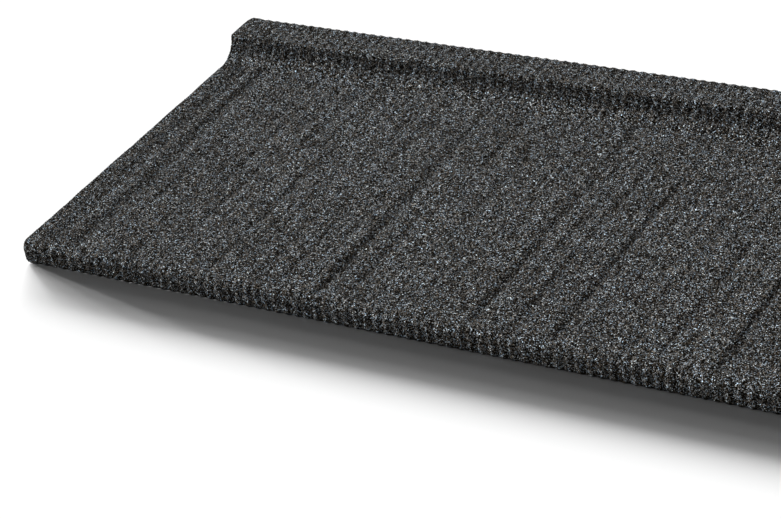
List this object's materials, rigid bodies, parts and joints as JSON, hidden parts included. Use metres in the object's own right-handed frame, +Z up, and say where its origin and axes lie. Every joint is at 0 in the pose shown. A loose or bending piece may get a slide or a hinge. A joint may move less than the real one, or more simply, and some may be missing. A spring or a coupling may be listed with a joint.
{
  "type": "stone-coated metal roofing sheet",
  "caption": "Long pressed roofing sheet with a split-timber face, turned-down fluted nose, swept upstand and flat rear flange, coated in dark stone granules.",
  "frame": {"origin": "bottom centre of the sheet's box as it lies face up on a level floor", "axes": "+X along the sheet, +Y from the nose to the flange, +Z up"},
  "size_m": [1.3302, 0.4124, 0.0247],
  "materials": {
    "stone_coated_steel": "dark grey stone granules about a millimetre across, bonded over steel: matt, rough and speckled"
  },
  "bodies": {
    "root": {"roofing_sheet": "stone_coated_steel"}
  },
  "joints": []
}
